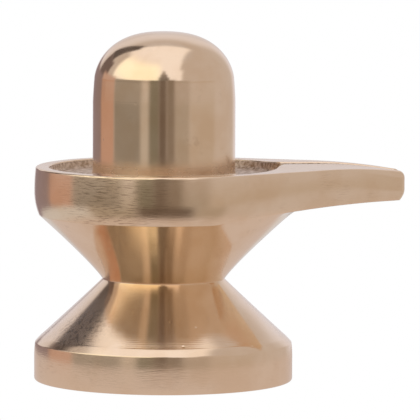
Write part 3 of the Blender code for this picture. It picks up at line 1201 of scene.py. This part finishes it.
@dataclass(frozen=True)
class HandWork:
    """The marks that the mould and the file leave in the metal, as a Geometry Nodes tree."""

    grain_depth: float = 0.10 * MM
    grain_size: float = 1.1 * MM
    grain_detail: float = 3.0
    file_depth: float = 0.035 * MM
    file_size: float = 6.0 * MM
    file_detail: float = 1.0
    seed: int = 7

    @property
    def sizes(self) -> dict[str, float]:
        """The tree's named inputs for sizes."""
        names = ("Grain depth", "Grain size", "File depth", "File size")
        return dict(zip(names, (self.grain_depth, self.grain_size, self.file_depth, self.file_size)))

    def tree(self, material: bpy.types.Material) -> Tree:
        """Builds the tree, which pushes each zone in and out along its normal.

        Args:
            material: The finish that the tree sets.

        Returns:
            The tree.
        """
        tree = bpy.data.node_groups.new("hand_work", "GeometryNodeTree")
        face = tree.interface
        face.new_socket("Geometry", in_out="INPUT", socket_type="NodeSocketGeometry")
        for name in self.sizes:
            face.new_socket(name, in_out="INPUT", socket_type="NodeSocketFloat")
        face.new_socket("Seed", in_out="INPUT", socket_type="NodeSocketInt")
        face.new_socket("Geometry", in_out="OUTPUT", socket_type="NodeSocketGeometry")
        start = add_node(tree, "NodeGroupInput")
        place = add_node(tree, "GeometryNodeInputPosition").outputs[0]
        normal = add_node(tree, "GeometryNodeInputNormal").outputs[0]
        pushes = []
        for zone, mark, detail in (
            (Zone.CAST, "Grain", self.grain_detail),
            (Zone.FILED, "File", self.file_detail),
        ):
            size = start.outputs[f"{mark} size"]
            scaled = add_node(tree, "ShaderNodeVectorMath", place, size, operation="DIVIDE").outputs[0]
            links = {"Vector": scaled, "W": start.outputs["Seed"], "Scale": 1.0, "Detail": detail}
            noise = add_node(tree, "ShaderNodeTexNoise", named=links, noise_dimensions="4D").outputs["Fac"]
            push = add_node(tree, "ShaderNodeMath", noise, NOISE_MIDDLE, operation="SUBTRACT").outputs[0]
            links = {"Name": zone.value}
            mask = add_node(tree, "GeometryNodeInputNamedAttribute", named=links, data_type="FLOAT")
            for factor in (mask.outputs["Attribute"], start.outputs[f"{mark} depth"]):
                push = add_node(tree, "ShaderNodeMath", push, factor, operation="MULTIPLY").outputs[0]
            pushes.append(push)
        total = add_node(tree, "ShaderNodeMath", *pushes, operation="ADD").outputs[0]
        links = {"Scale": total}
        offset = add_node(tree, "ShaderNodeVectorMath", normal, named=links, operation="SCALE").outputs[0]
        links = {"Geometry": start.outputs["Geometry"], "Offset": offset}
        moved = add_node(tree, "GeometryNodeSetPosition", named=links).outputs[0]
        real = add_node(tree, "GeometryNodeRealizeInstances", moved).outputs[0]
        links = {"Geometry": real, "Material": material}
        dressed = add_node(tree, "GeometryNodeSetMaterial", named=links).outputs[0]
        add_node(tree, "NodeGroupOutput", dressed)
        return tree

    def apply(self, raw: bpy.types.Object, material: bpy.types.Material, name: str) -> bpy.types.Object:
        """Runs the tree on a raw mesh.

        Args:
            raw: The object with the unworked mesh, which is removed.
            material: The finish that the result gets.
            name: Name of the result.

        Returns:
            A new object with a plain mesh and no modifier.
        """
        modifier = raw.modifiers.new("hand_work", "NODES")
        modifier.node_group = self.tree(material)
        values = self.sizes | {"Seed": self.seed}
        for item in modifier.node_group.interface.items_tree:
            if item.in_out == "INPUT" and item.name in values:
                modifier[item.identifier] = values[item.name]
        graph = bpy.context.evaluated_depsgraph_get()
        mesh = bpy.data.meshes.new_from_object(raw.evaluated_get(graph))
        mesh.name = name
        piece = bpy.data.objects.new(name, mesh)
        bpy.context.scene.collection.objects.link(piece)
        bpy.data.objects.remove(raw, do_unlink=True)
        return piece


@dataclass(frozen=True)
class Card:
    """A card or wall of the room, as the piece sees it: angles are in degrees.

    Azimuth is zero towards the camera and grows to its right, and elevation grows upwards.
    """

    name: str
    left: float
    right: float
    low: float
    high: float
    colour_hex: str
    soft: float


@dataclass(frozen=True)
class Skylight:
    """A pane of bright sky, bounded in direction cosines: to the right, to the camera and up."""

    left: float
    right: float
    back: float
    low: float
    high: float
    colour_hex: str
    strength: float
    soft: float = 0.05


@dataclass(frozen=True)
class Studio:
    """A white room with soft light: darker behind the camera, brightest above it on the left."""

    yaw: float = radians(-9.5)
    elevation: float = radians(5.4)
    roll: float = radians(0.25)
    distance: float = 0.965
    lens: float = 428.0
    sensor_width: float = 36.0
    clip_end: float = 20.0
    aim_height: float = 32.9 * MM
    aim_right: float = 8.94 * MM
    floor_near: float = 0.060
    floor_far: float = 0.086
    floor_sides: int = 96
    paper_hex: str = "#D4C8C6"
    white_hex: str = "#FFFFFF"
    panes: tuple[Skylight, ...] = (
        Skylight(-0.97, 0.34, -0.10, 0.16, 1.1, "#FFFAFD", 1.05),
        Skylight(-0.97, 0.41, -0.10, 0.50, 0.84, "#FFFAFD", 1.05, 0.10),
        Skylight(-0.97, 0.48, -0.10, 0.20, 0.62, "#FFFAFD", 1.05, 0.10),
        Skylight(-0.97, 0.40, -0.32, 0.80, 1.1, "#FFFAFD", 1.05, 0.10),
        Skylight(-0.97, -0.10, -0.10, 0.20, 0.80, "#FFFCEC", 1.30, 0.24),
    )

    # What hangs behind the panes, each in front of the one before
    walls: tuple[Card, ...] = (
        Card("Walls of the room", -185.0, 185.0, -95.0, 95.0, "#CDC4C2", 1.0),
        Card("Ceiling at the back", -185.0, 185.0, 60.0, 95.0, "#CEC8CB", 14.0),
        Card("Wall behind", 150.0, 215.0, -12.0, 48.0, "#E7E2E8", 20.0),
        Card("Table to the left", -200.0, -70.0, -70.0, -13.0, "#D4D3D6", 14.0),
        Card("Table to the right", 125.0, 190.0, -70.0, -13.0, "#DDDADB", 20.0),
        Card("Table in front, left", -70.0, -24.0, -75.0, -13.0, "#B1A89E", 10.0),
        Card("Table in front, right", 26.0, 62.0, -75.0, -13.0, "#B5AAA0", 10.0),
        Card("Shade below the camera", -24.0, 28.0, -75.0, -9.0, "#6C5F57", 12.0),
    )

    # What hangs in front of the panes
    cards: tuple[Card, ...] = (
        Card("Shelf behind", 166.0, 196.0, -2.0, 26.0, "#DED8DB", 10.0),
        Card("Doorway, upper half", -146.0, -124.0, 28.0, 62.0, "#655D5D", 6.0),
        Card("Doorway, lower half", -142.0, -112.0, -14.0, 30.0, "#766969", 6.0),
        Card("Doorway, near", -166.0, -123.0, -14.0, 9.0, "#95868B", 5.0),
        Card("Clay wall, lit", -123.0, -88.0, 0.0, 14.0, "#CBAFA6", 7.0),
        Card("Clay wall", -123.0, -88.0, -14.0, 1.0, "#C5A293", 7.0),
        Card("Grey cloth, lit", -88.0, -32.0, 0.0, 12.0, "#A69E97", 8.0),
        Card("Grey cloth", -88.0, -33.0, -14.0, 1.0, "#979089", 8.0),
        Card("Pale edge of the cloth, lit", -36.0, -20.0, 0.0, 12.0, "#D1C7C2", 9.0),
        Card("Pale edge of the cloth", -38.0, -22.0, -14.0, 1.0, "#C2BAB3", 9.0),
        Card("Stand beside the camera", -24.0, -7.0, -14.0, 14.0, "#868176", 8.0),
        Card("Camera", -8.0, 5.0, -14.0, 16.0, "#766961", 7.0),
        Card("Camera, top", -9.0, 9.0, 12.0, 24.0, "#817973", 5.0),
        Card("Tip of the camera", -6.0, 6.0, 21.0, 31.0, "#8B817C", 5.0),
        Card("Point of the tip", -3.0, 3.0, 28.0, 38.0, "#9E938B", 4.0),
        Card("Right of the camera", 4.0, 20.0, -14.0, 17.0, "#8E8279", 9.0),
        Card("Warm wall, near, lit", 18.0, 43.0, 0.0, 12.0, "#BCB1AC", 10.0),
        Card("Warm wall, near", 18.0, 43.0, -14.0, 1.0, "#B1A79E", 10.0),
        Card("Warm wall, far", 43.0, 90.0, -14.0, 1.0, "#C4B8AF", 12.0),
    )

    def camera(self) -> None:
        """Places the camera at the photograph's angle."""
        data = bpy.data.cameras.new("camera")
        data.lens = self.lens
        data.sensor_width = self.sensor_width
        data.clip_end = self.clip_end
        camera = bpy.data.objects.new("camera", data)
        right = Vector((cos(self.yaw), sin(self.yaw), 0.0))
        aim = right * self.aim_right + Vector((0.0, 0.0, self.aim_height))
        level = cos(self.elevation)
        ahead = Vector((-sin(self.yaw) * level, cos(self.yaw) * level, -sin(self.elevation)))
        camera.location = aim - ahead * self.distance
        look = Euler((0.5 * pi - self.elevation, 0.0, self.yaw)).to_matrix()
        roll = Euler((0.0, 0.0, self.roll)).to_matrix()
        camera.rotation_euler = (look @ roll).to_euler()
        bpy.context.scene.collection.objects.link(camera)
        bpy.context.scene.camera = camera

    def floor(self) -> None:
        """Lays the pale paper, evenly lit near the piece and fading out into the room."""
        bm = bmesh.new()
        bmesh.ops.create_circle(bm, cap_ends=True, segments=self.floor_sides, radius=self.floor_far)
        mesh = bpy.data.meshes.new("floor")
        bm.to_mesh(mesh)
        bm.free()
        floor = bpy.data.objects.new("floor", mesh)
        material = bpy.data.materials.new("white_paper")
        material.use_nodes = True
        tree = material.node_tree
        tree.nodes.clear()
        place = add_node(tree, "ShaderNodeTexCoord").outputs["Object"]
        reach = add_node(tree, "ShaderNodeVectorMath", place, operation="LENGTH").outputs["Value"]
        limits = (self.floor_near, self.floor_far, 0.0, 1.0)
        fade = add_node(tree, "ShaderNodeMapRange", reach, *limits, **SOFT_ENDS).outputs[0]
        seen = add_node(tree, "ShaderNodeLightPath").outputs["Is Camera Ray"]
        links = {FACTOR: seen, UNDER: linear(self.paper_hex), OVER: linear(self.white_hex)}
        tone = add_node(tree, "ShaderNodeMix", named=links, data_type="RGBA").outputs[MIXED]
        paper = add_node(tree, "ShaderNodeEmission", tone, 1.0).outputs[0]
        clear = add_node(tree, "ShaderNodeBsdfTransparent").outputs[0]
        mixed = add_node(tree, "ShaderNodeMixShader", fade, paper, clear).outputs[0]
        add_node(tree, "ShaderNodeOutputMaterial", mixed)
        mesh.materials.append(material)
        bpy.context.scene.collection.objects.link(floor)

    def room(self) -> None:
        """Builds the room as a world that is plain white to the camera and cards elsewhere."""
        world = bpy.data.worlds.new("studio")
        bpy.context.scene.world = world
        world.use_nodes = True
        tree = world.node_tree
        tree.nodes.clear()
        links = {"Vector": add_node(tree, "ShaderNodeTexCoord").outputs["Generated"], "Angle": -self.yaw}
        turned = add_node(tree, "ShaderNodeVectorRotate", named=links, rotation_type="Z_AXIS").outputs[0]
        right, behind, up = add_node(tree, "ShaderNodeSeparateXYZ", turned).outputs
        toward = add_node(tree, "ShaderNodeMath", behind, -1.0, operation="MULTIPLY").outputs[0]
        azimuth = add_node(tree, "ShaderNodeMath", right, toward, operation="ARCTAN2").outputs[0]
        elevation = add_node(tree, "ShaderNodeMath", up, operation="ARCSINE").outputs[0]
        total: Socket | Colour = linear(self.walls[0].colour_hex)
        for card in self.walls[1:]:
            total = self.hang(tree, (azimuth, elevation), total, card)
        for pane in self.panes:
            total = self.glaze(tree, (right, toward, up), total, pane)
        for card in self.cards:
            total = self.hang(tree, (azimuth, elevation), total, card)
        lit = add_node(tree, "ShaderNodeBackground", total, 1.0).outputs[0]
        white = add_node(tree, "ShaderNodeBackground", linear(self.white_hex), 1.0).outputs[0]
        seen = add_node(tree, "ShaderNodeLightPath").outputs["Is Camera Ray"]
        mixed = add_node(tree, "ShaderNodeMixShader", seen, lit, white).outputs[0]
        add_node(tree, "ShaderNodeOutputWorld", mixed)

    def glaze(self, tree: Tree, cosines: Sequence[Socket], total: Socket | Colour, pane: Skylight) -> Socket:
        """Lets the sky in through one pane.

        Args:
            tree: The world's tree.
            cosines: How far a direction points right, to the camera and up.
            total: The light so far.
            pane: The pane to add.

        Returns:
            The light with the pane.
        """
        right, toward, up = cosines
        mask = None
        for value, edge, way in (
            (right, pane.left, 1.0),
            (right, pane.right, -1.0),
            (toward, pane.back, 1.0),
            (up, pane.low, 1.0),
            (up, pane.high, -1.0),
        ):
            ends = (edge - 0.5 * way * pane.soft, edge + 0.5 * way * pane.soft)
            limits = (min(ends), max(ends), 0.5 - 0.5 * way, 0.5 + 0.5 * way)
            share = add_node(tree, "ShaderNodeMapRange", value, *limits, **SOFT_ENDS).outputs[0]
            if mask is not None:
                share = add_node(tree, "ShaderNodeMath", mask, share, operation="MULTIPLY").outputs[0]
            mask = share
        red, green, blue, alpha = linear(pane.colour_hex)
        colour = (red * pane.strength, green * pane.strength, blue * pane.strength, alpha)
        links = {FACTOR: mask, UNDER: total, OVER: colour}
        return add_node(tree, "ShaderNodeMix", named=links, data_type="RGBA").outputs[MIXED]

    def hang(self, tree: Tree, angles: Sequence[Socket], total: Socket | Colour, card: Card) -> Socket:
        """Hangs one card in front of what is there so far.

        Args:
            tree: The world's tree.
            angles: Azimuth, which is zero towards the camera, and elevation of a direction.
            total: The light so far.
            card: The card to hang.

        Returns:
            The light with the card.
        """
        soft = radians(card.soft)
        shares = []
        for value, low, high in zip(angles, (card.left, card.low), (card.right, card.high)):
            middle = radians(0.5 * (low + high))
            half = radians(0.5 * (high - low))
            away = add_node(tree, "ShaderNodeMath", value, middle, operation="SUBTRACT").outputs[0]
            away = add_node(tree, "ShaderNodeMath", away, pi, -pi, operation="WRAP").outputs[0]
            away = add_node(tree, "ShaderNodeMath", away, operation="ABSOLUTE").outputs[0]
            limits = (half - 0.5 * soft, half + 0.5 * soft, 1.0, 0.0)
            edge = add_node(tree, "ShaderNodeMapRange", away, *limits, **SOFT_ENDS)
            shares.append(edge.outputs[0])
        mask = add_node(tree, "ShaderNodeMath", *shares, operation="MULTIPLY").outputs[0]
        links = {FACTOR: mask, UNDER: total, OVER: linear(card.colour_hex)}
        return add_node(tree, "ShaderNodeMix", named=links, data_type="RGBA", label=card.name).outputs[MIXED]

    def build(self) -> None:
        """Sets the camera, the floor, the light and a plain view transform."""
        bpy.context.scene.view_settings.view_transform = "Standard"
        self.camera()
        self.floor()
        self.room()


def main() -> None:
    """Builds the casting and the studio, and reports each."""
    logging.basicConfig(level=logging.INFO, format="%(name)s: %(message)s")
    piece = LingamCasting().build(BrassFinish())
    LOG.info("%s: %d faces on body %s", piece.name, len(piece.data.polygons), BODY)
    Studio().build()
    LOG.info("studio: camera, floor and room")


if __name__ == "__main__":
    main()
